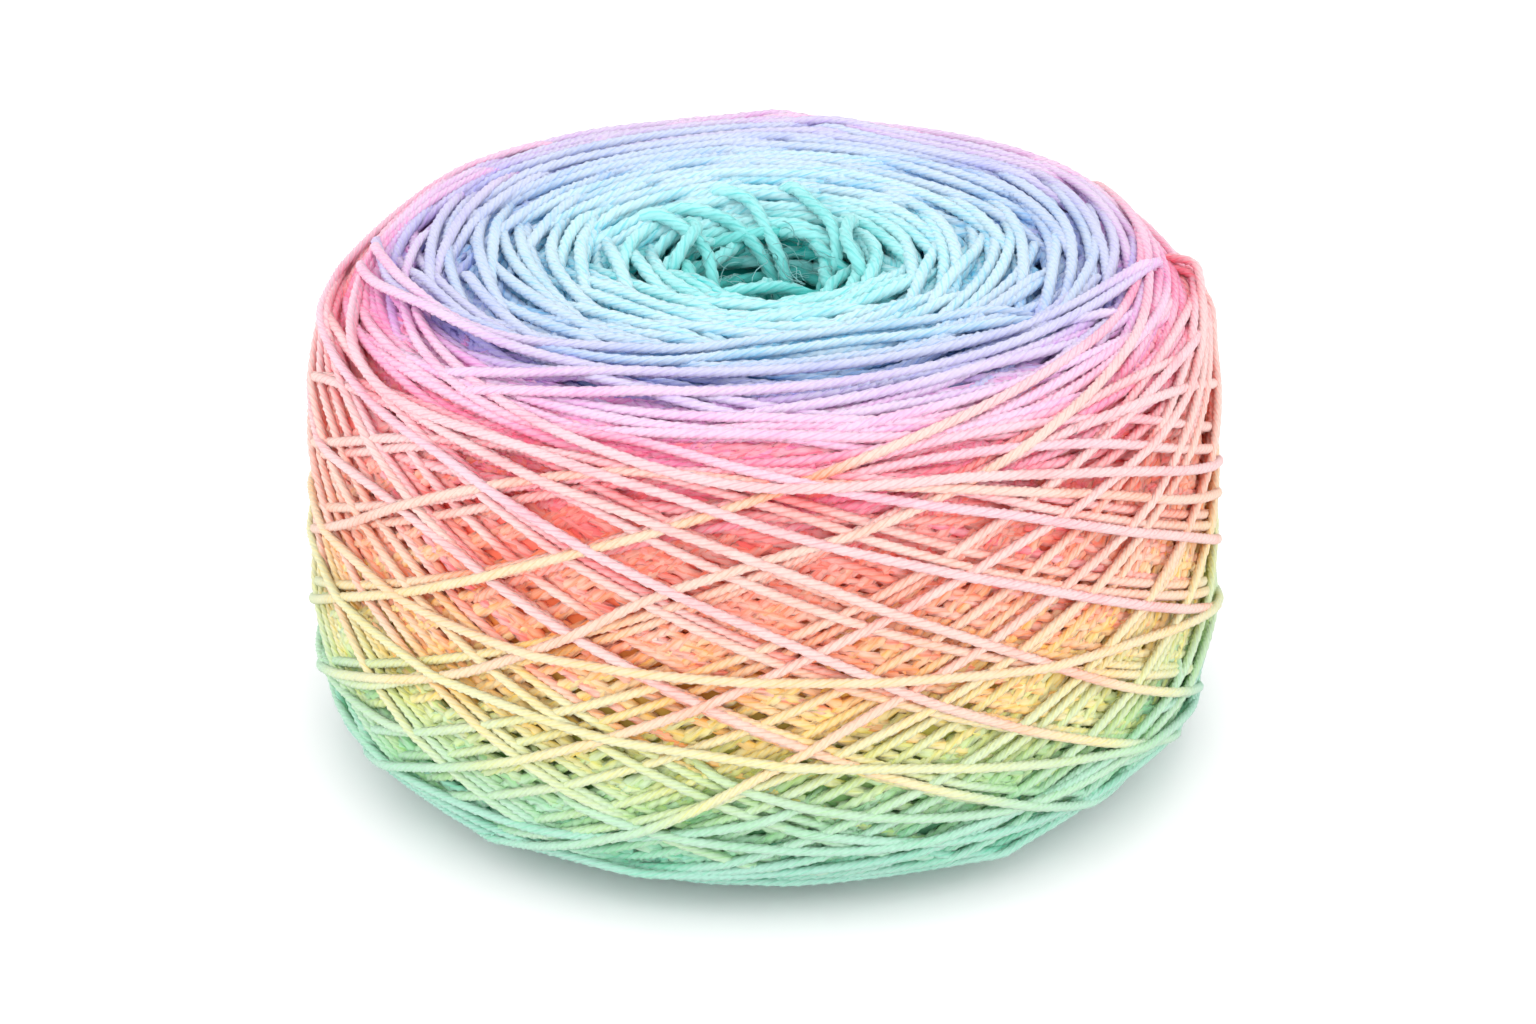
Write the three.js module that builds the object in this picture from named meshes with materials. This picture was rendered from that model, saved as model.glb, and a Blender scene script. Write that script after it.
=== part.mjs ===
// A centre-pull yarn cake: one long length of plied yarn, cross-wound into a low, round-shouldered drum
// with a dished top and a hollow in its middle. Millimetres, +Z up. The cake rests on z = 0 with its
// winding axis on Z.
//
// The cake is one solid of its wound form. Its surface carries the criss-cross of the outer turns: two
// families of slanting turns, each a ridge along the mesh's edges, with the gaps between them sunk. On
// the side the turns rise at a shallow slant, and on the top they swirl in towards the hollow.
import * as THREE from 'three';

// Driving dimensions
const outerRadius = 57.2;
const cakeHeight = 65.4;
const yarnThickness = 1.5;
const bellyBulge = 0.5; // the wall is this much fuller at mid height than at its ends
const lean = 0.5; // the top of the soft winding sits this much to +X of the foot

// The rounded edges are quarter superellipses: how far in they reach, how far up or down, and the power
const shoulder = { inset: 16.3, drop: 24.5, power: 2.7 };
const heel = { inset: 21, rise: 9, power: 2.1 };

// The top sinks a little from the shoulder's ring to the brim of the hollow
const crownDip = 1.8;
const hollow = { brimRadius: 14, throatRadius: 7, throatDepth: 13, floorRadius: 6, floorDepth: 36 };
const underside = { dishRadius: 8, dishHeight: 3 };

// The winding: turns of each family side by side round the cake, and how high the crests stand
const sideTurns = 36;
const crownTurns = 18;
const ringPitch = 1.62; // between rings up the side, so that two rings make one turn's pitch
const crestHeight = 0.6 * yarnThickness;
const gapDepth = 0.5 * yarnThickness;

const yarnColour = '#f2b9b4';
const yarnRoughness = 0.9;

const shoulderRing = outerRadius - shoulder.inset;
const footRadius = outerRadius - heel.inset;
const wallTop = cakeHeight - shoulder.drop;
const brimHeight = cakeHeight - crownDip;

function mix(from, to, share) {
  return from + (to - from) * share;
}

// A quarter superellipse, as shares of its two reaches, for share 0 to 1 of the way round it
function corner(share, power) {
  const angle = (Math.min(Math.max(share, 0), 1) * Math.PI) / 2;
  return {
    across: Math.sin(angle) ** (2 / power),
    along: 1 - Math.max(Math.cos(angle), 0) ** (2 / power),
  };
}

// The outside of the section, as radius and height: the heel, the wall and the shoulder in turn
function sidePoint(share) {
  const third = share * 3;
  if (third < 1) {
    const turn = corner(third, heel.power);
    return new THREE.Vector2(footRadius + heel.inset * turn.across, heel.rise * turn.along);
  }
  if (third < 2) {
    const up = third - 1;
    const bulge = bellyBulge * Math.sin(Math.PI * up);
    return new THREE.Vector2(outerRadius + bulge, mix(heel.rise, wallTop, up));
  }
  const turn = corner(3 - third, shoulder.power);
  const height = cakeHeight - shoulder.drop * turn.along;
  return new THREE.Vector2(shoulderRing + shoulder.inset * turn.across, height);
}

// The top, in steps that shrink towards the middle as the turns crowd together there
function crownPoint(share) {
  const inner = hollow.brimRadius + 2;
  const radius = shoulderRing * (inner / shoulderRing) ** share;
  const dip = (shoulderRing - radius) / (shoulderRing - inner);
  return new THREE.Vector2(radius, mix(cakeHeight, brimHeight, dip * dip));
}

// The rounded way over the brim and down into the hollow
function throatPoint(share) {
  const turn = corner(1 - share, 2);
  return new THREE.Vector2(
    hollow.throatRadius + (hollow.brimRadius - hollow.throatRadius) * turn.along,
    brimHeight - hollow.throatDepth * (1 - turn.across),
  );
}

function wellPoint(share) {
  return new THREE.Vector2(
    mix(hollow.throatRadius, hollow.floorRadius, share),
    cakeHeight - mix(hollow.throatDepth + 6, hollow.floorDepth, share),
  );
}

function dishPoint(share) {
  return new THREE.Vector2(mix(2, underside.dishRadius, share), underside.dishHeight * (1 - share * share));
}

function footPoint(share) {
  return new THREE.Vector2(mix(underside.dishRadius + 3, footRadius - 3, share), 0);
}

// Points evenly spaced along a stretch of the section
function evenly(pointAt, pitch) {
  const curve = new THREE.Curve();
  curve.arcLengthDivisions = 900;
  curve.getPoint = pointAt;
  return curve.getSpacedPoints(Math.round(curve.getLength() / pitch));
}

function inSteps(pointAt, steps) {
  return Array.from({ length: steps }, (_, index) => pointAt(index / (steps - 1)));
}

// The section's stretches, from the middle of the underside, out, up and into the hollow: the places of
// their rings, the turns of each family that cross them, and how strong the relief is at each end
const stretches = [
  { rings: inSteps(dishPoint, 3), turns: crownTurns / 2, relief: [0, 0] },
  { rings: inSteps(footPoint, 4), turns: crownTurns, relief: [0, 0], flat: true },
  { rings: evenly(sidePoint, ringPitch), turns: sideTurns, relief: [0, 7] },
  { rings: inSteps(crownPoint, 17).slice(1), turns: crownTurns, relief: [1, 1] },
  { rings: inSteps(throatPoint, 6), turns: crownTurns, relief: [0.9, 0.3] },
  { rings: inSteps(wellPoint, 3), turns: crownTurns / 2, relief: [0, 0] },
];

// A repeatable draw from 0 to 1 for a turn, so that some turns lie proud and others sink in
function draw(family, turn) {
  const wave = Math.sin(family * 17.3 + turn * 12.9898) * 4758.5453;
  return wave - Math.floor(wave);
}

// How far the wound surface stands off the smooth section: a crest where two turns cross, a gap between
function relief(column, row, turns) {
  if ((column + row) % 2 !== 0) {
    return -gapDepth * (0.8 + 0.2 * draw(3, column + 7 * row));
  }
  const rising = ((column + row) / 2) % turns;
  const falling = ((column - row) / 2 + turns * 8) % turns;
  return crestHeight * (0.7 + 0.3 * Math.max(draw(1, rising), draw(2, falling)));
}

// The slow unevenness of a soft winding, as a share of the radius
function unevenness(angle, height) {
  return 1 + 0.004 * Math.sin(2 * angle + 0.6) * Math.sin(height / 14) + 0.002 * Math.sin(4 * angle - 1.1);
}

// Every ring of the section in order, with its outward direction for the relief
function sectionRings() {
  const rings = stretches.flatMap((stretch) => stretch.rings.map((place, index) => ({
    radius: place.x,
    height: place.y,
    turns: stretch.turns,
    flat: stretch.flat === true,
    strength: Math.min(mix(...stretch.relief, index / (stretch.rings.length - 1)), 1),
  })));
  rings.forEach((ring, index) => {
    const before = rings[Math.max(index - 1, 0)];
    const after = rings[Math.min(index + 1, rings.length - 1)];
    ring.outward = new THREE.Vector2(after.height - before.height, before.radius - after.radius).normalize();
  });
  return rings;
}

// The points of one ring, raised and sunk by the winding
function ringPoints(ring, row) {
  return Array.from({ length: 2 * ring.turns }, (_, column) => {
    const lift = ring.strength * relief(column, row, ring.turns);
    const angle = (column / ring.turns) * Math.PI;
    const height = ring.flat ? 0 : Math.max(ring.height + lift * ring.outward.y, 0.3 * ring.strength);
    const radius = (ring.radius + lift * ring.outward.x) * unevenness(angle, ring.height);
    const aside = lean * (ring.height / cakeHeight - 0.5);
    return new THREE.Vector3(radius * Math.cos(angle) + aside, radius * Math.sin(angle), height);
  });
}

// Triangles between two rings of as many points, split along the crests
function joinAlike(count, lowerStart, upperStart, row) {
  const faces = [];
  for (let index = 0; index < count; index += 1) {
    const next = (index + 1) % count;
    const [a, b] = [lowerStart + index, lowerStart + next];
    const [c, d] = [upperStart + index, upperStart + next];
    if ((index + row) % 2 === 0) faces.push(a, b, d, a, d, c);
    else faces.push(a, b, c, b, d, c);
  }
  return faces;
}

// Triangles between a ring and one with half its points
function joinHalved(coarse, lowerStart, upperStart, finerBelow) {
  const faces = [];
  for (let index = 0; index < coarse; index += 1) {
    const next = (index + 1) % coarse;
    const fine = [2 * index, 2 * index + 1, 2 * next];
    if (finerBelow) {
      const [a, b, c] = fine.map((point) => lowerStart + point);
      const [d, e] = [upperStart + index, upperStart + next];
      faces.push(a, b, d, b, e, d, b, c, e);
    } else {
      const [a, b, c] = fine.map((point) => upperStart + point);
      const [d, e] = [lowerStart + index, lowerStart + next];
      faces.push(a, d, b, d, e, b, b, e, c);
    }
  }
  return faces;
}

// A fan that closes the first or the last ring at the axis
function closeRing(start, count, centre, facesUp) {
  const faces = [];
  for (let index = 0; index < count; index += 1) {
    const [here, next] = [start + index, start + ((index + 1) % count)];
    if (facesUp) faces.push(centre, here, next);
    else faces.push(centre, next, here);
  }
  return faces;
}

// Puts the middle of the cake's outline on the Z axis
function centreOnAxis(geometry) {
  geometry.computeBoundingBox();
  const middle = geometry.boundingBox.getCenter(new THREE.Vector3());
  geometry.translate(-middle.x, -middle.y, 0);
}

function woundBody() {
  const rings = sectionRings();
  const places = [new THREE.Vector3(0, 0, underside.dishHeight)];
  const faces = [];
  let start = 0;
  rings.forEach((ring, row) => {
    const count = 2 * ring.turns;
    const countBelow = row > 0 ? 2 * rings[row - 1].turns : 0;
    const lowerStart = start;
    start = places.length;
    places.push(...ringPoints(ring, row));
    if (row === 0) faces.push(...closeRing(start, count, 0, false));
    else if (countBelow === count) faces.push(...joinAlike(count, lowerStart, start, row - 1));
    else faces.push(...joinHalved(Math.min(count, countBelow), lowerStart, start, countBelow > count));
  });
  places.push(new THREE.Vector3(0, 0, cakeHeight - hollow.floorDepth));
  faces.push(...closeRing(start, 2 * rings.at(-1).turns, places.length - 1, true));
  const geometry = new THREE.BufferGeometry().setFromPoints(places);
  geometry.setIndex(faces);
  centreOnAxis(geometry);
  geometry.computeVertexNormals();
  return geometry;
}

const wool = new THREE.MeshStandardMaterial({ color: yarnColour, roughness: yarnRoughness, metalness: 0 });
const cake = new THREE.Mesh(woundBody(), wool);
cake.name = 'cake';

const part = new THREE.Group();
part.add(cake);

export default part;
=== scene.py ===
import math

import bpy
import numpy as np
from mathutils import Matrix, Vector


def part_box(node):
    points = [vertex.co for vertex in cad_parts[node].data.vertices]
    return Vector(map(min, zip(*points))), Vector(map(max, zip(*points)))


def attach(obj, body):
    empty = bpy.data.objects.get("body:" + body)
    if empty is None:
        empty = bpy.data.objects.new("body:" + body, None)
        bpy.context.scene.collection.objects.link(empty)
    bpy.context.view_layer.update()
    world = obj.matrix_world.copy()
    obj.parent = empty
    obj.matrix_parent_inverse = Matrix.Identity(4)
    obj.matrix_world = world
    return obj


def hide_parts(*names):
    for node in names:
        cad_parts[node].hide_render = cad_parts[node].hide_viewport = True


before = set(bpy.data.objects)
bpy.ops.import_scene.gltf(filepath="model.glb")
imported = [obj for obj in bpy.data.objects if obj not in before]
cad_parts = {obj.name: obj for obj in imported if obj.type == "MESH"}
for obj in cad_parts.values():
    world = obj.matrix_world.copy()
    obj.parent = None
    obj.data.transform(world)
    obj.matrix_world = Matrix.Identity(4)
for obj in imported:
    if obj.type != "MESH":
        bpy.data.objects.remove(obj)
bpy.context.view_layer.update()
node_low, node_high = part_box("cake")

MM = 0.001
SEED = 20
draws = np.random.default_rng(SEED)

# The section's sizes in millimetres, from the solid's box. The solid's crests stand off the section, and
# its wall bulges at mid height.
CREST = 0.9
BULGE = 0.5
RADIUS = (node_high.x - node_low.x) / MM / 2 - CREST - BULGE
HEIGHT = node_high.z / MM - CREST
SECTION_STEP = 0.25

# The rounded edges, as quarter superellipses: how far in they reach, how far up or down, and the power
SHOULDER_INSET = 16.3
SHOULDER_DROP = 24.5
SHOULDER_POWER = 2.7
HEEL_INSET = 21.0
HEEL_RISE = 9.0
HEEL_POWER = 2.1

# The top dips to the brim of the hollow, and the underside's flat ring begins round a shallow dish
CROWN_DIP = 1.8
BRIM_RADIUS = 12.0
THROAT_RADIUS = 5.2
THROAT_DEPTH = 18.0
FOOT_INNER = 9.0

# The yarn's width, by where it lies: inside the winding it is drawn wider, so that it closes up
SIDE_YARN = 1.3
MIDDLE_YARN = 1.5
INNER_YARN = 1.75
SHOULDER_YARN = 1.42
CROWN_YARN = 1.62
CRATER_YARN = 1.95

# The throat's strands, on the dye's scale: where they start over its foot, where they end, and the pitch
THROAT_START = 1.5
THROAT_END = 10
THROAT_PITCH = 0.42

# The crown's yarn by place on the dye's scale, and how loosely it lies
CROWN_YARNS = ([10, 20, 34, 50], [CRATER_YARN, 1.85, CROWN_YARN, SHOULDER_YARN])
CROWN_LOOSENESS = ([9, 18, 30], [1.0, 0.6, 0.25])

# The plies of a strand without ridges go once round in this length
TWIST_LENGTH = 7.6

# A strand's cross-section, as shares of its radius: how far the groove between two plies reaches, how
# much further a ply's ridge does, how much lower and wider than a circle it all is, and the width and
# the length of its tapered end
GROOVE_REACH = 0.87
RIDGE_EXTRA = 0.15
LOWERED = 0.94
WIDENED = 1.04
END_WIDTH = 0.25
END_LENGTH = 1.6

# How far a strand's middle lies above what it rests on, and its top above its middle, as shares of
# its radius
BED_SHARE = 0.55
TOP_SHARE = 0.9

# How deep into the winding a strand's end goes, the depth that pressing never passes, and the share
# that pressing leaves of what stands proud
DIVE_DEPTH = 3.4
DEEPEST = 8.0
PROUD_SHARE = 0.85

# How closely a strand is built, from the outside inwards: the sides of its tube, and the step between
# its rings in millimetres for a yarn of the width given first, longer or shorter as the yarn is wider
# or finer
STEP_YARN = 1.4
FINE = (8, 1.0)
MIDDLE = (6, 1.5)
INNER = (6, 1.9)
INNERMOST = (6, 2.2)
HIDDEN = (4, 2.6)

# The map of heights that strands are laid on: equal angles round the axis and, along the section,
# equal shares of the radius, so that its cells are square everywhere
COLUMNS = 1040
CELL = 2 * math.pi / COLUMNS

# A long strand is pulled taut over this many cells at a time, looking a little further ahead
TAUT_CELLS = int(0.85 * COLUMNS)
AHEAD_CELLS = int(0.08 * COLUMNS)

# Each short strand lies this angle on from the one before, so that a layer spreads evenly round the axis
GOLDEN = math.pi * (3 - math.sqrt(5))

# Turns round the axis, and passes down and up, before a route meets its own start again, and the angle
# that it starts from
INNER_TURNS = 55
INNER_PASSES = 61
SIDE_TURNS = 74
SIDE_PASSES = 79
START_ANGLE = 0.3

# Where the passes turn above and below, on the dye's scale, for the first pass and the last
UPPER_TURNS = (49, 57)
LOWER_TURNS = (125, 113)

# The dye that slanting strands lean towards: going down to the right, and going up
FALLING_DYE = 60
RISING_DYE = 80

# How much of that lean there is, by place on the dye's scale, and the same for the last strands with
# the most that they lean
LEANING = ([76, 98], [1, 0.25])
LAST_LEANING = ([48, 58, 82, 102], [0.2, 1, 1, 0.15])
LAST_LEAN = 0.75

# The height in millimetres that the finished winding is pressed to, over the bed that it is laid on
FINAL_LEVEL = 5.0

# How far the outermost strands stand off the bare section, in millimetres, and how much more than
# that by place on the dye's scale, so that the winding's outline meets the solid's
SINK = -0.7
LIFTS = ([30, 46, 56, 66, 90, 98, 106, 114, 120, 128],
         [-0.5, 0.3, 0.6, 0.0, 0.3, 0.9, 0.0, -1.8, -2.1, -1.2])

# The inside, under the strands: how high it reaches by place on the dye's scale, how deep it counts for
# its painted shade, which gives it nearly the full shade colour, its dye in the hollow, and the points of
# its mesh along the section and round the axis
CORE_LEVELS = ([10, 30, 60, 110, 120, 150], [1.0, 1.0, 1.65, 1.7, 1.8, 3.4])
CORE_SHADE_DEPTH = 5.0
CORE_HOLLOW_DYE = 6
CORE_ROWS = 90
CORE_COLUMNS = 72

# Loose fibres in the hollow: how many, how thick, how far from the axis they grow, and the height that
# they grow at, as it would be at the axis and how much it rises for each millimetre out
HAIRS = 34
HAIR = 0.12
HAIR_RING = (5.5, 9.5)
WALL_LOW = 59
WALL_SLOPE = 0.45

# The depth of a loose strand for its painted shade, which darkens it as it hangs lower in the hollow: none
# above this height, growing by so much for each millimetre below it, to a limit
LOOSE_TOP = 63.5
LOOSE_SHADE = 0.35
LOOSE_DEEPEST = 4

# About the most triangles in a piece
PIECE_TRIANGLES = 100000

# A piece's flat sheet has its strands' rings side by side in bands: how many times as many rings there
# are in a band as there are bands, and the share of a band left free at each edge
SHEET_RATIO = 5.3
SHEET_MARGIN = 0.06

# How far the yarn's colour goes from pale to the deep column's painted shade: in the groove between two
# plies, on a strand's flanks, and down in the winding, where the painted shade goes on growing to a depth
# in millimetres
GROOVE_SHADE = 0.42
FLANK_SHADE = 0.28
DEPTH_SHADE = 0.75
FULL_DEPTH = 5.4

# The pale dyes are this share as bright as in their table, and the dye's scale ends at this place
PALE_SHARE = 0.92
DYE_END = 150.0

# The stage in metres, and its light
FLOOR_REACH = 6.0
FLOOR_COLOUR = (0.96, 0.925, 0.95, 1)
WORLD_STRENGTH = 1.14
LIGHT_AIM = Vector((0, 0, 0.03))

# The camera stands where the photo was taken from: its rise over the level, its distance in metres, the
# point that it looks at, the photo's width and the lens's length in its pixels, and the sensor's width
# in millimetres
CAMERA_RISE = math.radians(26)
CAMERA_REACH = 0.5
AIM = Vector((0.0004, 0, 0.0283))
PHOTO_WIDTH = 1536
FOCAL_PIXELS = 3856
SENSOR = 36.0


def corner(angle, power):
    """A quarter superellipse: how far across and how far along, for angle 0 to a right angle."""
    return np.sin(angle) ** (2 / power), 1 - np.cos(angle) ** (2 / power)


class Section:
    """The outside of the cake's section, from the hollow over the top and down to the underside."""

    def __init__(self):
        quarter = np.linspace(0, math.pi / 2, 120)
        turned = quarter[::-1]
        brim_z = HEIGHT - CROWN_DIP
        throat_r = THROAT_RADIUS + (BRIM_RADIUS - THROAT_RADIUS) * (1 - np.cos(quarter))
        throat_z = brim_z - THROAT_DEPTH * (1 - np.sin(quarter))
        shoulder_ring = RADIUS - SHOULDER_INSET
        crown_r = np.linspace(BRIM_RADIUS, shoulder_ring, 90)[1:]
        inward = (shoulder_ring - crown_r) / (shoulder_ring - BRIM_RADIUS)
        crown_z = brim_z + CROWN_DIP * (1 - inward**2)
        across, along = corner(turned, SHOULDER_POWER)
        shoulder_r = shoulder_ring + SHOULDER_INSET * across[::-1]
        shoulder_z = HEIGHT - SHOULDER_DROP * along[::-1]
        wall_top = HEIGHT - SHOULDER_DROP
        wall_z = np.linspace(wall_top, HEEL_RISE, 80)[1:-1]
        wall_r = RADIUS + BULGE * np.sin(math.pi * (wall_z - HEEL_RISE) / (wall_top - HEEL_RISE))
        across, along = corner(quarter, HEEL_POWER)
        heel_r = RADIUS - HEEL_INSET + HEEL_INSET * across[::-1]
        heel_z = HEEL_RISE * along[::-1]
        foot_r = np.linspace(RADIUS - HEEL_INSET, FOOT_INNER, 60)[1:]
        radius = np.concatenate([throat_r, crown_r, shoulder_r[1:], wall_r, heel_r, foot_r])
        height = np.concatenate([throat_z, crown_z, shoulder_z[1:], wall_z, heel_z, foot_r * 0])
        run = np.concatenate([[0], np.cumsum(np.hypot(np.diff(radius), np.diff(height)))])
        self.run = np.arange(0, run[-1], SECTION_STEP)
        self.radius = self.smooth(np.interp(self.run, run, radius), 8)
        self.height = self.smooth(np.interp(self.run, run, height), 8)
        tangent_r = np.gradient(self.radius, self.run)
        tangent_z = np.gradient(self.height, self.run)
        size = np.hypot(tangent_r, tangent_z)
        self.out_r, self.out_z = -tangent_z / size, tangent_r / size
        heading = np.unwrap(np.arctan2(tangent_z, tangent_r))
        self.bend_along = -np.gradient(heading, self.run)
        self.bend_round = self.out_r / self.radius
        mean_radius = 0.5 * (self.radius[1:] + self.radius[:-1])
        self.place = np.concatenate([[0], np.cumsum(SECTION_STEP / mean_radius)])
        self.rows = int(self.place[-1] / CELL) + 2
        # the dye's own scale: the radius on the top, going on by length down the side
        self.dye = self.run - self.run[np.argmax(self.radius > BRIM_RADIUS)] + BRIM_RADIUS

    @staticmethod
    def smooth(values, width):
        kernel = np.exp(-0.5 * (np.arange(-3 * width, 3 * width + 1) / width) ** 2)
        kernel /= kernel.sum()
        return np.convolve(np.pad(values, 3 * width, mode="reflect", reflect_type="odd"), kernel, "valid")

    def at(self, table, place):
        return np.interp(place, self.place, table)

    def place_of_dye(self, dye):
        return np.interp(dye, self.dye, self.place)


section = Section()


def broad_shape(grid, waves=6, width=14):
    """A map's slow changes alone: a few waves round the axis, smooth along the section."""
    spectrum = np.fft.rfft(grid, axis=1)
    spectrum[:, waves:] = 0
    row_run = np.interp(np.arange(section.rows) * CELL, section.place, section.run)
    for wave in range(waves):
        parts = []
        for part in (spectrum[:, wave].real, spectrum[:, wave].imag):
            even = Section.smooth(np.interp(section.run, row_run, part), width)
            parts.append(np.interp(row_run, section.run, even))
        spectrum[:, wave] = parts[0] + 1j * parts[1]
    return np.fft.irfft(spectrum, grid.shape[1], axis=1)


def taut_over(steps, rests, bends):
    """Heights of a taut strand above the surface, from its rests and the surface's bend under it."""
    fall = np.concatenate([[0], np.cumsum(np.cumsum(bends[:-1] * steps) * steps)])
    along = np.concatenate([[0], np.cumsum(steps)])
    lifted = (rests - fall).tolist()
    reach = along.tolist()
    kept = []
    for index in range(len(reach)):
        while len(kept) > 1:
            first, second = kept[-2], kept[-1]
            rise = (lifted[second] - lifted[first]) * (reach[index] - reach[first])
            if rise > (lifted[index] - lifted[first]) * (reach[second] - reach[first]):
                break
            kept.pop()
        kept.append(index)
    return np.interp(along, along[kept], np.array(lifted)[kept]) + fall


def highest_near(grid, size):
    """The highest value within reach of each cell; the map wraps round the axis."""
    for axis in (0, 1):
        grid = np.max([shifted(grid, step, axis) for step in range(-(size // 2), size // 2 + 1)], axis=0)
    return grid


def mean_near(grid, size):
    """The mean value within reach of each cell."""
    for axis in (0, 1):
        grid = np.mean([shifted(grid, step, axis) for step in range(-(size // 2), size // 2 + 1)], axis=0)
    return grid


def shifted(grid, step, axis):
    """The map moved by some cells: round the axis it wraps, along the section its end rows repeat."""
    moved = np.roll(grid, step, axis)
    if axis == 0 and step > 0:
        moved[:step] = grid[0]
    if axis == 0 and step < 0:
        moved[step:] = grid[-1]
    return moved


def cell_number(column, row):
    """The map's cell nearest a column and a row: it wraps round the axis and stops at its end rows."""
    columns = np.rint(column).astype(int) % COLUMNS
    rows = np.clip(np.rint(row).astype(int), 0, section.rows - 1)
    return rows * COLUMNS + columns


def pressed(gap, share):
    """What is left of a height, measured from the outside, once the winding is pressed together."""
    below = np.minimum(gap, 0)
    return PROUD_SHARE * np.maximum(gap, 0) - DEEPEST * (1 - np.exp(share * below / DEEPEST))


class Winding:
    """The map of heights, and the strands laid on it so far."""

    def __init__(self):
        self.heights = np.zeros(section.rows * COLUMNS)
        self.strands = []

    def cells(self, angle, place, across_angle, across_place, reach, count):
        """The cells under a strand's width, and how far its round stands out over each."""
        offsets = np.linspace(-1, 1, count)[:, None]
        column = angle / CELL + across_angle * reach * offsets
        row = place / CELL + across_place * reach * offsets
        return cell_number(column, row), np.sqrt(np.maximum(1 - offsets**2, 0))

    def lay(self, angle, place, radius, group, build=FINE, dive=0.0, loft=0.0, dye=None):
        """Lays a strand along a route, given at steps of about a cell.

        Its ends dive into the winding over a stretch, and a loose one stands off by its loft.
        """
        step_angle, step_place = np.gradient(angle), np.gradient(place)
        flat_step = np.hypot(step_angle, step_place)
        ring = section.at(section.radius, place)
        across_angle, across_place = -step_place / flat_step, step_angle / flat_step
        reach = radius / (ring * CELL)
        count = int(np.ceil(2 * reach.max())) | 1
        spots, bow = self.cells(angle, place, across_angle, across_place, reach, count)
        rests = (self.heights[spots] + BED_SHARE * radius * bow).max(axis=0)
        bends = across_place**2 * section.at(section.bend_round, place)
        bends = bends + across_angle**2 * section.at(section.bend_along, place)
        steps = (flat_step * ring)[:-1]
        along = np.concatenate([[0], np.cumsum(steps)])
        level = np.empty_like(rests)
        loose = loft * np.sin(math.pi * along / along[-1]) ** 2
        start = 0
        while start < len(rests):
            stop = min(start + TAUT_CELLS, len(rests))
            end = min(stop + AHEAD_CELLS, len(rests))
            if start > 0:
                rests[start:end] = (self.heights[spots[:, start:end]] + BED_SHARE * radius * bow).max(axis=0)
                rests[start] = level[start - 1]
            taut = taut_over(steps[start:end - 1], rests[start:end], bends[start:end])
            level[start:stop] = taut[:stop - start] + loose[start:stop]
            tops = level[start:stop] + radius * bow * TOP_SHARE
            np.maximum.at(self.heights, spots[:, start:stop], tops)
            start = stop
        near = np.minimum(along, along[-1] - along) / max(dive, 1e-6)
        if dye is None:
            dye = section.at(section.dye, place)
        self.strands.append({
            "angle": angle, "place": place, "level": level, "along": along, "radius": radius,
            "dive": DIVE_DEPTH * np.clip(1 - near, 0, 1) ** 1.5,
            "dye": dye, "build": build, "group": group, "start": draws.uniform(0, 50),
            "shift": draws.normal(0, 1.2), "tone": draws.normal(0, 0.3),
        })

    def settle(self, level, share=0.95):
        """Presses the winding together, so that its outside is about as high everywhere."""
        broad = broad_shape(self.envelope(6)).ravel()
        self.heights = level + pressed(self.heights - broad, share)
        for strand in self.strands:
            outside = broad[cell_number(strand["angle"] / CELL, strand["place"] / CELL)]
            strand["level"] = level + pressed(strand["level"] - outside, share)

    def envelope(self, reach):
        """The winding's outside as a map: the highest strand near each spot, smoothed as widely."""
        high = self.heights.reshape(section.rows, COLUMNS)
        high = highest_near(high, 2 * reach + 1)
        return mean_near(high, 2 * reach + 3)


winding = Winding()


def arc(centre_angle, turn_place, half_span, hang, tilt=0.0, up=1):
    """A strand's turning stretch: nearest the middle of the top, or of the underside, at its centre."""
    count = int(2 * half_span / CELL)
    sweep = np.linspace(-half_span, half_span, max(count, 8))
    wander = 0.004 * np.sin(3.1 * sweep + centre_angle * 5) + 0.003 * np.sin(7.3 * sweep + centre_angle * 3)
    return centre_angle + sweep, turn_place + up * (-hang * np.log(np.cos(sweep)) + tilt * sweep) + wander


def through(points, step):
    """A smooth route through chosen points, at even steps."""
    points = np.array(points, dtype=float)
    reach = np.concatenate([[0], np.cumsum(np.linalg.norm(np.diff(points, axis=0), axis=1))])
    slopes = np.gradient(points, reach, axis=0)
    places = np.linspace(0, reach[-1], max(int(reach[-1] / step), 8))
    leg = np.clip(np.searchsorted(reach, places, side="right") - 1, 0, len(reach) - 2)
    size = (reach[leg + 1] - reach[leg])[:, None]
    share = (places - reach[leg])[:, None] / size
    near, far = 1 - share, share
    return ((1 + 2 * far) * near**2 * points[leg] + far * near**2 * size * slopes[leg]
            + far**2 * (3 - 2 * far) * points[leg + 1] - far**2 * near * size * slopes[leg + 1])


def wind_throat():
    """Loose strands round the wall of the hollow, under its brim."""
    for number, dye in enumerate(np.arange(section.dye[0] + THROAT_START, THROAT_END, THROAT_PITCH)):
        centre = number * GOLDEN + draws.normal(0, 0.2)
        half_span = draws.uniform(0.8, 1.5)
        hang = draws.uniform(0, 0.35)
        tilt = draws.normal(0, 0.12)
        angle, place = arc(centre, section.place_of_dye(dye), half_span, hang, tilt)
        loft = draws.uniform(0, 0.8)
        winding.lay(angle, place, CRATER_YARN / 2, "crater", MIDDLE, dive=4.0, loft=loft)


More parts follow.
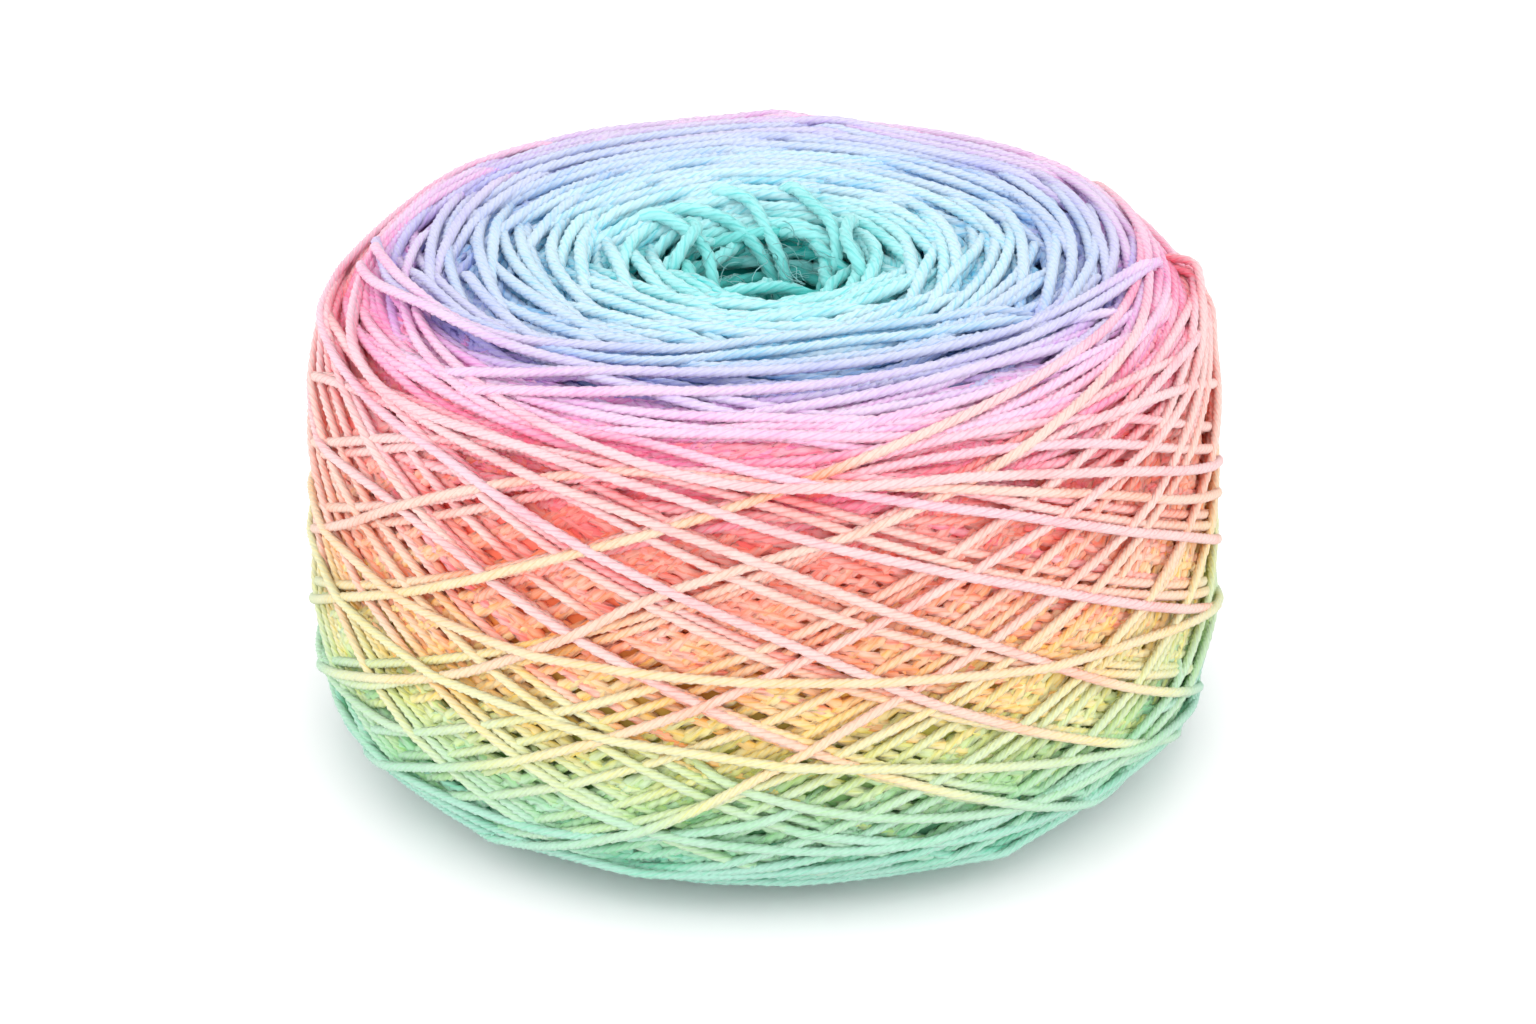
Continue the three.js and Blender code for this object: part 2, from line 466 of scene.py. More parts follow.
def wind_crown(low_dye, high_dye, pitch, build, group, start_angle=0.0):
    """The top, from the hollow's brim out to the shoulder, in chords that pass by the hollow."""
    dye = low_dye
    number = 0
    while dye < high_dye:
        share = (dye - low_dye) / (high_dye - low_dye)
        yarn = np.interp(dye, *CROWN_YARNS)
        loose = np.interp(dye, *CROWN_LOOSENESS)
        half_span = draws.uniform(0.75, 1.2)
        hang = draws.uniform(0.2, 0.85) * np.interp(share, [0, 0.7, 1], [1.1, 0.9, 0.5])
        tilt = draws.normal(0, 0.05 + 0.12 * loose)
        centre = number * GOLDEN + draws.normal(0, 0.15) + start_angle
        angle, place = arc(centre, section.place_of_dye(dye + draws.normal(0, 0.4)), half_span, hang, tilt)
        loft = draws.uniform(0, 1.4) if dye < 17 else 0.0
        winding.lay(angle, place, yarn / 2, group, build, dive=7.0, loft=loft)
        dye += pitch * np.interp(dye, [9, 20], [1.4, 1.0])
        number += 1


def pass_share(share, ease):
    """How far a slanting pass has come: eased in over its first and last stretch, even between."""
    flat = np.where(share > 0.5, 1 - share, share)
    eased = np.where(flat < ease, flat**2 / (2 * ease * (1 - ease)), (flat - ease / 2) / (1 - ease))
    return np.where(share > 0.5, 1 - eased, eased)


def between(ends, share):
    """The value a share of the way from one end to the other."""
    return ends[0] + (ends[1] - ends[0]) * share


class SideRoute:
    """The slanting turns between the shoulder and the heel, as one long strand.

    It goes round so many turns in so many passes down and up, and then would meet its own start. Each
    round of passes comes to lie beside the one before, so the turns build up in steps round the gaps.
    The dye of each pass leans from its place's own towards one of its own.
    """

    def __init__(self, turns, passes):
        self.legs = 2 * passes
        self.leg_angle = 2 * math.pi * turns / self.legs
        count = self.legs + 1
        number = np.arange(count)
        self.falling = number % 2 == 0
        self.angle_at = START_ANGLE + self.leg_angle * number + draws.normal(0, 0.012, count)
        share = number / self.legs
        drift = np.where(self.falling, between(UPPER_TURNS, share), between(LOWER_TURNS, share))
        sway = 1.6 * np.sin(number / 70 + 1) * np.where(self.falling, 1, -1)
        dye_at = drift + sway + draws.normal(0, 0.7, count)
        self.place_at = section.place_of_dye(dye_at)
        self.own = np.where(self.falling, FALLING_DYE, RISING_DYE) + draws.uniform(-8, 5, count)
        self.amount = draws.uniform(0.2, 1.8, count) * 0.3

    def lay(self, first, last, build, group, yarn=SIDE_YARN):
        """Lays the passes from one number to another."""
        angle = np.arange(self.angle_at[first], self.angle_at[last], CELL)
        leg = np.clip(np.searchsorted(self.angle_at, angle, side="right") - 1, first, last - 1)
        share = (angle - self.angle_at[leg]) / (self.angle_at[leg + 1] - self.angle_at[leg])
        start, rise = self.place_at[leg], self.place_at[leg + 1] - self.place_at[leg]
        place = start + rise * pass_share(share, 0.2)
        middles = self.angle_at + self.leg_angle / 2
        dye = section.at(section.dye, place)
        amount = np.interp(angle, middles, self.amount) * np.interp(dye, *LEANING)
        dye = dye + amount * (np.interp(angle, middles, self.own) - dye)
        winding.lay(angle, place, yarn / 2, group, build, dive=6.0, dye=dye)


def wind_rings(low_dye, high_dye, pitch, hang, group, build=FINE, yarn=SIDE_YARN, up=1, reverse=False):
    """Near-level strands round the shoulder or the heel."""
    dyes = np.arange(low_dye, high_dye, pitch)
    if reverse:
        dyes = dyes[::-1]
    for number, dye in enumerate(dyes):
        half_span = draws.uniform(0.7, 1.15)
        centre = number * GOLDEN + draws.normal(0, 0.3)
        own_hang = hang * draws.uniform(0.4, 1.4)
        tilt = draws.normal(0, 0.03)
        angle, place = arc(centre, section.place_of_dye(dye), half_span, own_hang, tilt, up)
        winding.lay(angle, place, yarn / 2, group, build, dive=7.0)


# The strands that lie outermost at the front, each with its own dye, its yarn, and its route as angles
# in degrees and places on the dye's scale
LAST_STRANDS = [
    (60, SIDE_YARN, [
        (-200, 66), (-178, 67), (-164, 69), (-141, 69), (-129, 71), (-117, 76), (-105, 81), (-90, 88),
        (-68, 98), (-45, 108), (-22, 116), (0, 120),
    ]),
    (80, SIDE_YARN, [
        (-235, 117), (-212, 111), (-190, 104), (-170, 95), (-152, 86), (-137, 79), (-121, 71),
        (-98, 61.5), (-82, 56), (-60, 51), (-35, 48), (-10, 47), (15, 49), (35, 54),
    ]),
    (78, SIDE_YARN, [
        (-215, 118), (-192, 112), (-170, 104), (-148, 95), (-127, 86), (-115, 79), (-103, 71.5),
        (-89, 66), (-78, 63), (-50, 55), (-30, 51), (-5, 48), (20, 49), (40, 54),
    ]),
    (72, SIDE_YARN, [
        (-195, 96), (-172, 86), (-152, 76), (-138, 68), (-120, 60), (-108, 57), (-89, 57), (-70, 59),
        (-50, 64), (-25, 74), (0, 84),
    ]),
    (66, SIDE_YARN, [
        (-150, 118), (-126, 111), (-105, 102), (-88, 92), (-75, 85), (-68, 82), (-51, 75), (-43, 72.5),
        (-28, 66), (-10, 59), (10, 54),
    ]),
    (62, SIDE_YARN, [
        (-176, 117), (-152, 109), (-130, 100), (-110, 91), (-92, 82), (-84, 78), (-65, 70), (-43, 64),
        (-26, 61), (-8, 57), (12, 53),
    ]),
    (60, SIDE_YARN, [
        (-240, 46), (-215, 49), (-190, 54), (-172, 57), (-152, 58.5), (-128, 61), (-112, 66),
        (-97, 72), (-86, 77), (-68, 87), (-48, 97), (-28, 106), (-5, 114), (18, 119),
    ]),
    (61, SIDE_YARN, [
        (-225, 43), (-200, 46), (-175, 51), (-152, 56), (-138, 57), (-123, 58.5), (-104, 62),
        (-89, 67), (-76, 73), (-59, 82), (-42, 92), (-22, 102), (-5, 110),
    ]),
    (62, SIDE_YARN, [
        (-222, 44), (-197, 47), (-172, 52), (-150, 56), (-118, 56.5), (-101, 59), (-89, 62.5),
        (-64, 71), (-27, 88), (-8, 97), (12, 106),
    ]),
    (58, SIDE_YARN, [
        (-195, 42), (-170, 45), (-145, 50), (-125, 53), (-106, 53), (-91, 56), (-78, 59), (-60, 64),
        (-36, 74), (-7, 88), (12, 97),
    ]),
    (62, SIDE_YARN, [
        (-165, 45), (-140, 49), (-115, 54), (-92, 57.5), (-75, 58), (-66, 58.5), (-48, 62), (-20, 72),
        (0, 80), (15, 87),
    ]),
    (90, SIDE_YARN, [
        (-205, 84), (-182, 85), (-156, 87), (-126, 88.5), (-110, 90), (-96, 91), (-72, 94), (-50, 99),
        (-25, 105), (0, 111), (25, 116),
    ]),
    (84, SIDE_YARN, [
        (-205, 86), (-192, 84), (-174, 81), (-155, 80), (-127, 81), (-101, 81), (-76, 82), (-60, 84),
        (-40, 87), (-11, 95), (5, 100), (18, 104),
    ]),
    (45, SHOULDER_YARN, [
        (-195, 52), (-177, 48), (-164, 47), (-144, 42.5), (-127, 41), (-113, 39), (-92, 33), (-72, 31),
        (-50, 35), (-28, 42),
    ]),
    (46, SHOULDER_YARN, [
        (-190, 51), (-172, 47), (-159, 45.5), (-134, 42.5), (-121, 38.5), (-104, 34), (-92, 30),
        (-70, 28), (-48, 31), (-25, 39),
    ]),
    (45, SHOULDER_YARN, [
        (-188, 53), (-168, 49), (-152, 46), (-130, 44), (-110, 42.5), (-92, 38), (-75, 36), (-60, 37),
        (-38, 42), (-18, 50),
    ]),
    (46, SHOULDER_YARN, [
        (5, 52), (-15, 46), (-37, 43.5), (-64, 43), (-85, 44), (-100, 45.5), (-122, 49), (-140, 54),
    ]),
    (44, SHOULDER_YARN, [
        (0, 50), (-20, 44), (-42, 41), (-66, 39), (-88, 40), (-108, 43), (-125, 47), (-145, 53),
    ]),
]


def lay_last_strands():
    """The outermost strands at the front, each leaning towards its own dye where it crosses the side."""
    for own, yarn, points in LAST_STRANDS:
        places = [(math.radians(degrees), section.place_of_dye(dye)) for degrees, dye in points]
        angle, place = through(places, CELL).T
        dye = section.at(section.dye, place)
        lean = LAST_LEAN * np.interp(dye, *LAST_LEANING)
        winding.lay(angle, place, yarn / 2, "side", dive=9.0, dye=dye + lean * (own - dye))


# The order of the winding, from the inside out, pressed together after each layer
SideRoute(INNER_TURNS, INNER_PASSES).lay(0, 2 * INNER_PASSES, INNERMOST, "deep", INNER_YARN)
winding.settle(1.0)
side = SideRoute(SIDE_TURNS, SIDE_PASSES)
side.lay(0, 50, INNER, "deep", INNER_YARN)
winding.settle(1.5)
wind_throat()
wind_crown(14, 54, 0.24, HIDDEN, "deep", start_angle=1.0)
wind_rings(118, 161, 0.85, 0.5, "under", MIDDLE, up=-1, reverse=True)
wind_rings(100, 118, 0.5, 0.3, "heel", MIDDLE, up=-1, reverse=True)
winding.settle(2.2)
side.lay(50, 80, MIDDLE, "middle", MIDDLE_YARN)
winding.settle(3.0)
wind_crown(8, 54, 0.23, FINE, "crown")
wind_rings(48, 61, 0.26, 0.3, "shoulder", yarn=SHOULDER_YARN)
winding.settle(3.4)
side.lay(80, 2 * SIDE_PASSES, FINE, "side")
wind_rings(102.5, 119, 0.62, 0.3, "heel", up=-1, reverse=True)
winding.settle(4.2)
lay_last_strands()
winding.settle(FINAL_LEVEL, 0.55)
top_map = winding.envelope(5).ravel()


def set_points(angle, place, level):
    """Points in millimetres for places on the surface and heights above the winding's bed."""
    lift = level - FINAL_LEVEL - SINK + np.interp(section.at(section.dye, place), *LIFTS)
    ring = section.at(section.radius, place) + lift * section.at(section.out_r, place)
    high = section.at(section.height, place) + lift * section.at(section.out_z, place)
    return np.stack([ring * np.cos(angle), ring * np.sin(angle), np.maximum(high, 0.06)], axis=-1)


def rope(middle, outward, reach, radius, build):
    """The points of a plied strand, ring by ring, and how far each stands out.

    A closely built strand has a ridge for each ply, and the ridges wind to the left as they go.
    """
    sides, _ = build
    count = len(middle)
    ahead = np.gradient(middle, axis=0)
    ahead /= np.linalg.norm(ahead, axis=1)[:, None]
    outward = outward - ahead * (outward * ahead).sum(axis=1)[:, None]
    outward /= np.linalg.norm(outward, axis=1)[:, None]
    across = np.cross(ahead, outward)
    corners = np.arange(sides)
    plied = sides > 4
    ply = (corners % 2 == 0).astype(float) if plied else np.full(sides, 0.6)
    turn = -2 * math.pi / sides * np.arange(count) if plied else np.zeros(count)
    around = 2 * math.pi * corners[None, :] / sides + turn[:, None] + reach[0]
    from_end = np.minimum(reach - reach[0], reach[-1] - reach)
    taper = np.clip(END_WIDTH + (1 - END_WIDTH) * from_end / (END_LENGTH * radius), 0, 1)
    size = radius * (GROOVE_REACH + RIDGE_EXTRA * ply)[None, :] * taper[:, None]
    rise, side = size * np.cos(around) * LOWERED, size * np.sin(around) * WIDENED
    points = middle[:, None, :] + outward[:, None, :] * rise[..., None]
    points = points + across[:, None, :] * side[..., None]
    points[..., 2] = np.maximum(points[..., 2], 0.02)
    plies = sides // 2 if plied else 4
    slant = np.zeros(count) if plied else -plies * reach / TWIST_LENGTH
    return {
        "points": points.reshape(-1, 3), "rise": rise, "rings": count, "sides": sides, "reach": reach,
        "plies": plies, "slant": slant,
    }


def tube(strand):
    """A laid strand's points, with its dye and how deep each lies in the winding, which sets its painted
    shade.
    """
    along = strand["along"]
    count = max(int(along[-1] / (strand["build"][1] * strand["radius"] / (STEP_YARN / 2))), 4)
    reach = np.linspace(0, along[-1], count)
    level = Section.smooth(strand["level"], max(int(1.0 / (along[-1] / len(along))), 1)) - strand["dive"]
    angle = np.interp(reach, along, strand["angle"])
    place = np.interp(reach, along, strand["place"])
    level = np.interp(reach, along, level)
    middle = set_points(angle, place, level)
    outward = set_points(angle, place, level + 1.0) - middle
    outward[:, 2] += 1e-6
    made = rope(middle, outward, reach + strand["start"], strand["radius"], strand["build"])
    roof = top_map[cell_number(angle / CELL, place / CELL)]
    # painted shade: each point's depth under the winding's outside, deeper on a strand's lower side, shifted
    # by the strand's own random tone
    made["sunk"] = (roof[:, None] - (level[:, None] + made["rise"]) + strand["tone"]).ravel()
    start = strand["start"]
    slow = np.sin(reach / 47 + start * 9.1) + 0.7 * np.sin(reach / 21 + start * 4.3)
    dye = np.interp(reach, along, strand["dye"]) + strand["shift"] + 1.6 * slow
    made["dye"] = np.repeat(dye, made["sides"])
    return made


# Loose strands over the hollow: dye at each end, then places in millimetres
LOOSE_STRANDS = [
    (16, 3, [
        (-8, 23, 62), (-6, 20, 65), (-2.5, 16.5, 65.4), (0.2, 10, 63.6), (2.4, 4, 60.5),
        (3.6, 0.5, 55), (3.4, -1, 48),
    ]),
    (15, 4, [
        (-16, 13, 62.5), (-12.6, 14, 64.6), (-6, 12.6, 64.4), (-1, 8, 61.8), (1.8, 4.5, 57),
        (2, 3, 50),
    ]),
    (14, 5, [
        (-18, 12, 63), (-15.2, 11.6, 65), (-10.6, 7.4, 65), (-7.4, 2.4, 63.6), (-6.4, -2.6, 61),
        (-4.5, -3.5, 54),
    ]),
    (14, 6, [
        (1, 23, 62.5), (3, 21, 65), (6, 14.6, 65.4), (8.6, 8, 64.8), (9, 2.4, 62.8), (6.4, -1, 58),
        (4.6, -2, 50),
    ]),
    (8, 10, [
        (-1.5, 2, 46), (-0.8, 0.6, 54), (0.2, -1.6, 59.6), (0.4, -3.4, 61.6), (-0.6, -6.4, 62.4),
        (-3.4, -9.4, 62),
    ]),
    (12, 8, [
        (-12, -2, 62), (-10.4, 1, 64.8), (-8.8, 5.6, 65.2), (-9.4, 10, 64.4), (-12, 13, 62.6),
    ]),
    (12, 9, [
        (12.4, 12, 62.5), (11, 9.4, 65), (10.2, 4, 65.2), (11.2, -1.6, 64.6), (13, -5, 62.4),
    ]),
]


def loose_tube(first_dye, last_dye, points, yarn, build=FINE):
    """A strand or a hair that hangs free, through its own places."""
    middle = through(points, build[1] * yarn / STEP_YARN)
    axes = np.eye(3)
    ahead = np.gradient(middle, axis=0)
    ahead /= np.linalg.norm(ahead, axis=1)[:, None]
    outward = axes[np.argmin(np.abs(ahead @ axes).max(axis=0))]
    reach = np.concatenate([[0], np.cumsum(np.linalg.norm(np.diff(middle, axis=0), axis=1))])
    made = rope(middle, np.tile(outward, (len(middle), 1)), reach + draws.uniform(0, 50), yarn / 2, build)
    # painted shade: a loose strand turns darker the lower it hangs in the hollow
    sunk = np.clip((LOOSE_TOP - middle[:, 2]) * LOOSE_SHADE, 0, LOOSE_DEEPEST)
    made["sunk"] = np.repeat(sunk, made["sides"])
    made["dye"] = np.repeat(np.linspace(first_dye, last_dye, len(middle)), made["sides"])
    return made


def hair(root, heading, length, dye, curl):
    """A fibre that has come loose, curling as it goes."""
    steps = 9
    heading = heading / np.linalg.norm(heading)
    first = np.cross(heading, draws.normal(0, 1, 3))
    first /= np.linalg.norm(first)
    second = np.cross(heading, first)
    turns = np.linspace(0, curl, steps)[:, None] + draws.uniform(0, 6.3)
    course = heading + 0.9 * curl / (1 + curl) * (np.cos(turns) * first + np.sin(turns) * second)
    points = root + np.cumsum(course * length / steps, axis=0)
    return loose_tube(dye, dye, points, HAIR, (4, 4.5 * length))


def hairs_of_hollow():
    """Fibres that stand off the hollow's wall, towards its middle."""
    made = []
    for _ in range(HAIRS):
        angle = draws.uniform(0, 2 * math.pi)
        ring = draws.uniform(*HAIR_RING)
        root = np.array([ring * math.cos(angle), ring * math.sin(angle), WALL_LOW + WALL_SLOPE * ring])
        heading = np.array([-math.cos(angle), -math.sin(angle), draws.uniform(-0.2, 0.8)])
        made.append(hair(root, heading, draws.uniform(2.5, 6), draws.uniform(6, 14), draws.uniform(2, 7)))
    return made


def closing(sides):
    """The quads that close the end of a tube, as corner numbers."""
    return np.array([(0, k, k + 1, k + 2) for k in range(1, sides - 1, 2)])


def wall_quads(ring, side, sides):
    """The quads round a tube, from each ring and side to the next."""
    after = (side + 1) % sides
    return np.stack([(ring + 1) * sides + side, (ring + 1) * sides + after,
                     ring * sides + after, ring * sides + side], axis=1)


def yarn_places(member, ring, side):
    """Where the quads' corners lie on the yarn: how far along it, and round its plies."""
    sides, plies = member["sides"], member["plies"]
    left, right = side / sides * plies, (side + 1) / sides * plies
    far, near = member["reach"][ring + 1], member["reach"][ring]
    far_slant, near_slant = member["slant"][ring + 1], member["slant"][ring]
    return np.stack([far, left + far_slant, far, right + far_slant,
                     near, right + near_slant, near, left + near_slant], axis=1)


def sheet_places(spot, side, sides, bands, per_band):
    """Where the quads' corners lie on the piece's flat sheet."""
    band, along = spot // per_band, spot % per_band
    near, far = along / per_band, (along + 1) / per_band
    inside = 1 - 2 * SHEET_MARGIN
    left = (band + SHEET_MARGIN + inside * (side / sides)) / bands
    right = (band + SHEET_MARGIN + inside * ((side + 1) / sides)) / bands
    return np.stack([far, left, far, right, near, right, near, left], axis=1)


def add_attribute(mesh, name, values):
    layer = mesh.attributes.new(name, "FLOAT", "POINT")
    layer.data.foreach_set("value", values.astype(np.float32))


def add_piece(name, mesh):
    """Puts a mesh of yarn into the scene as a piece of the part."""
    mesh.materials.append(yarn)
    piece = bpy.data.objects.new(name, mesh)
    bpy.context.collection.objects.link(piece)
    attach(piece, "root")
    return piece


def build_piece(name, members):
    """One mesh of many strands, each closed at both ends."""
    total_rings = sum(member["rings"] for member in members)
    bands = max(int(math.sqrt(total_rings / SHEET_RATIO)), 1)
    per_band = math.ceil(total_rings / bands)
    faces, rounded, yarn_uv, sheet_uv = [], [], [], []
    first_corner = 0
    first_ring = 0
    for member in members:
        count, sides, reach = member["rings"], member["sides"], member["reach"]
        ring, side = np.meshgrid(np.arange(count - 1), np.arange(sides), indexing="ij")
        ring, side = ring.ravel(), side.ravel()
        quads = wall_quads(ring, side, sides)
        woven = yarn_places(member, ring, side)
        spread = sheet_places(ring + first_ring, side, sides, bands, per_band)
        start_cap = closing(sides)
        end_cap = start_cap[:, ::-1] + (count - 1) * sides
        caps = len(start_cap)
        faces += [quads + first_corner, start_cap + first_corner, end_cap + first_corner]
        rounded += [np.ones(len(quads), dtype=bool), np.zeros(2 * caps, dtype=bool)]
        yarn_uv += [woven, np.tile([reach[0], 0.0], (caps, 4)), np.tile([reach[-1], 0.0], (caps, 4))]
        sheet_uv += [spread, np.tile(spread[0, -2:], (caps, 4)), np.tile(spread[-1, :2], (caps, 4))]
        first_corner += count * sides
        first_ring += count
    points, faces = np.concatenate([member["points"] for member in members]), np.concatenate(faces)
    mesh = bpy.data.meshes.new(name)
    mesh.vertices.add(len(points))
    mesh.vertices.foreach_set("co", (points * MM).ravel().astype(np.float32))
    mesh.loops.add(faces.size)
    mesh.loops.foreach_set("vertex_index", faces.ravel().astype(np.int32))
    mesh.polygons.add(len(faces))
    mesh.polygons.foreach_set("loop_start", np.arange(0, faces.size, 4, dtype=np.int32))
    mesh.polygons.foreach_set("use_smooth", np.concatenate(rounded))
    for label, layers in (("YarnUV", yarn_uv), ("OFBake", sheet_uv)):
        layer = mesh.uv_layers.new(name=label)
        layer.data.foreach_set("uv", np.concatenate(layers).ravel().astype(np.float32))
    for label in ("sunk", "dye"):
        add_attribute(mesh, label, np.concatenate([member[label] for member in members]))
    mesh.update(calc_edges=True)
    mesh.validate()
    add_piece(name, mesh)


# The dyes by place, which is the radius on the top in millimetres and goes on down the side: each one
# as it looks on the strands that stand proud, and as painted shade deep in the winding. The first rows
# turn darker down the hollow, painting its shade.
DYE_AND_SHADE_TABLE = [
    # place, pale, deep (painted shade)
    (0, "38bcb4", "007c74"),
    (8, "80dedc", "08aaa2"),
    (14, "b0ecee", "1cc4c6"),
    (24, "c8e8f2", "48c6e2"),
    (36, "c8d8f0", "76aee6"),
    (43, "d0ceec", "a69ae0"),
    (48, "eacce8", "e08acc"),
    (53, "f6c6dc", "fb76a6"),
    (66, "f5d0c8", "fb7a70"),
    (76, "f5d0ba", "fb905e"),
    (83, "eedeb2", "f9be58"),
    (91, "dae4b8", "d6d46a"),
    (98, "bedebe", "a0d286"),
    (107, "a9dac6", "6cc8a0"),
    (124, "9dd5c8", "4ebea8"),
]


def linear(code, share):
    """A share of a colour written as six hex digits, in Blender's linear values."""
    parts = [int(code[i:i + 2], 16) / 255 for i in (0, 2, 4)]
    return [share * (p / 12.92 if p <= 0.04045 else ((p + 0.055) / 1.055) ** 2.4) for p in parts] + [1.0]


class Graph:
    """A material's nodes, made and joined in short calls."""

    def __init__(self, name):
        self.material = bpy.data.materials.new(name)
        self.material.use_nodes = True
        self.nodes = self.material.node_tree.nodes
        self.links = self.material.node_tree.links
        self.shader = self.nodes["Principled BSDF"]

    def put(self, value, socket):
        if isinstance(value, bpy.types.NodeSocket):
            self.links.new(value, socket)
        else:
            socket.default_value = value

    def attribute(self, name):
        node = self.nodes.new("ShaderNodeAttribute")
        node.attribute_name = name
        return node.outputs["Fac"]

    def math(self, operation, *values, clamp=False):
        node = self.nodes.new("ShaderNodeMath")
        node.operation = operation
        node.use_clamp = clamp
        for socket, value in zip(node.inputs, values):
            self.put(value, socket)
        return node.outputs["Value"]

    def ramp_between(self, value, low, high, out_low=0.0, out_high=1.0):
        node = self.nodes.new("ShaderNodeMapRange")
        node.interpolation_type = "SMOOTHSTEP"
        for name, number in (("Value", value), ("From Min", low), ("From Max", high),
                             ("To Min", out_low), ("To Max", out_high)):
            self.put(number, node.inputs[name])
        return node.outputs["Result"]

    def mix(self, amount, first, second):
        node = self.nodes.new("ShaderNodeMix")
        node.data_type = "RGBA"
        self.put(amount, node.inputs["Factor"])
        self.put(first, node.inputs["A"])
        self.put(second, node.inputs["B"])
        return node.outputs["Result"]

    def ramp_by_dye_place(self, place, column, share):
        """Colours by place on the dye's scale, from one column of the table of pale dyes and painted shade.
        """
        node = self.nodes.new("ShaderNodeValToRGB")
        elements = node.color_ramp.elements
        elements.remove(elements[1])
        elements[0].color = linear(DYE_AND_SHADE_TABLE[0][column], share)
        for row in DYE_AND_SHADE_TABLE[1:]:
            elements.new(row[0] / DYE_END).color = linear(row[column], share)
        self.put(place, node.inputs["Fac"])
        return node.outputs["Color"]

    def noise(self, vector, scale, detail=2.0):
        node = self.nodes.new("ShaderNodeTexNoise")
        node.inputs["Scale"].default_value = scale
        node.inputs["Detail"].default_value = detail
        self.put(vector, node.inputs["Vector"])
        return node.outputs["Fac"]

    def combine(self, x, y, z=0.0):
        node = self.nodes.new("ShaderNodeCombineXYZ")
        for socket, value in zip(node.inputs, (x, y, z)):
            self.put(value, socket)
        return node.outputs["Vector"]


def yarn_material():
    """Dyed plies: pale where they stand proud, with painted shade, saturated and darker, between the plies,
    on their flanks and deep in the winding.
    """
    graph = Graph("yarn")
    shader = graph.shader
    shader.inputs["Roughness"].default_value = 0.85
    shader.inputs["Specular IOR Level"].default_value = 0.15
    shader.inputs["Sheen Weight"].default_value = 0.25
    shader.inputs["Sheen Roughness"].default_value = 0.5
    place = graph.nodes.new("ShaderNodeUVMap")
    place.uv_map = "YarnUV"
    parts = graph.nodes.new("ShaderNodeSeparateXYZ")
    graph.put(place.outputs["UV"], parts.inputs["Vector"])
    along, around = parts.outputs["X"], parts.outputs["Y"]

    # each ply's own place across, 0 at its middle and 1 at the groove beside it
    groove = graph.math("MULTIPLY", graph.math("PINGPONG", around, 0.5), 2.0)
    # painted shade along the grooves between plies
    groove_painted_shade = graph.ramp_between(groove, 0.55, 1.0)
    fibre_place = graph.combine(graph.math("MULTIPLY", along, 0.35), graph.math("MULTIPLY", around, 7.0))
    fibres = graph.noise(fibre_place, 1.0, 3.0)
    uneven_dye = graph.noise(graph.combine(graph.math("MULTIPLY", along, 0.09), 0.0), 1.0, 2.0)

    dye_place = graph.math("DIVIDE", graph.attribute("dye"), DYE_END)
    pale = graph.ramp_by_dye_place(dye_place, 1, PALE_SHARE)
    # the deep column is the painted shade colour
    deep = graph.ramp_by_dye_place(dye_place, 2, 1.0)
    sunk = graph.attribute("sunk")
    # painted shade on a strand's flanks and deeper in the winding
    flank_painted_shade = graph.ramp_between(sunk, 0.3, 1.7, 0.0, FLANK_SHADE)
    depth = graph.math("ADD", flank_painted_shade, graph.ramp_between(sunk, 0.1, FULL_DEPTH, 0.0, DEPTH_SHADE))
    amount = graph.math("ADD", depth, graph.math("MULTIPLY", groove_painted_shade, GROOVE_SHADE))
    amount = graph.math("ADD", amount, graph.ramp_between(uneven_dye, 0.35, 0.65, -0.14, 0.2))
    amount = graph.math("ADD", amount, graph.ramp_between(fibres, 0.35, 0.75, -0.12, 0.16), clamp=True)
    graph.put(graph.mix(amount, pale, deep), shader.inputs["Base Color"])

    bump = graph.nodes.new("ShaderNodeBump")
    bump.inputs["Strength"].default_value = 0.9
    bump.inputs["Distance"].default_value = 0.12 * MM
    height = graph.math("ADD", graph.math("MULTIPLY", graph.math("POWER", groove, 2.0), -1.0),
                        graph.math("MULTIPLY", fibres, 0.8))
    graph.put(height, bump.inputs["Height"])
    graph.put(bump.outputs["Normal"], shader.inputs["Normal"])
    return graph.material


yarn = yarn_material()
tubes = {}
for strand in winding.strands:
    tubes.setdefault(strand["group"], []).append(tube(strand))

tubes["crater"] += [loose_tube(first, last, points, CRATER_YARN) for first, last, points in LOOSE_STRANDS]
tubes["crater"] += hairs_of_hollow()


def part_of(whole, first, last):
    """A stretch of a tube, from one ring to another."""
    corners = slice(first * whole["sides"], (last + 1) * whole["sides"])
    cut = {key: whole[key][corners] for key in ("points", "sunk", "dye")}
    cut |= {key: whole[key][first:last + 1] for key in ("reach", "slant")}
    return cut | {"rings": last + 1 - first, "sides": whole["sides"], "plies": whole["plies"]}


def in_parts(whole):
    """A long tube in parts, end to end, none of them too large for a piece."""
    count = math.ceil(2 * whole["rings"] * whole["sides"] / PIECE_TRIANGLES)
    marks = np.linspace(0, whole["rings"] - 1, count + 1).astype(int)
    return [part_of(whole, first, last) for first, last in zip(marks, marks[1:])]


def build_pieces(group, members):
    """Builds a group's strands as pieces of no more than about so many triangles."""
    batch, size, number = [], 0, 1
    for member in [part for whole in members for part in in_parts(whole)]:
        cost = 2 * member["rings"] * member["sides"]
        if batch and size + cost > PIECE_TRIANGLES:
            build_piece(f"{group}_{number}", batch)
            batch, size, number = [], 0, number + 1
        batch.append(member)
        size += cost
    build_piece(f"{group}_{number}", batch)


for group, members in tubes.items():
    build_pieces(group, members)


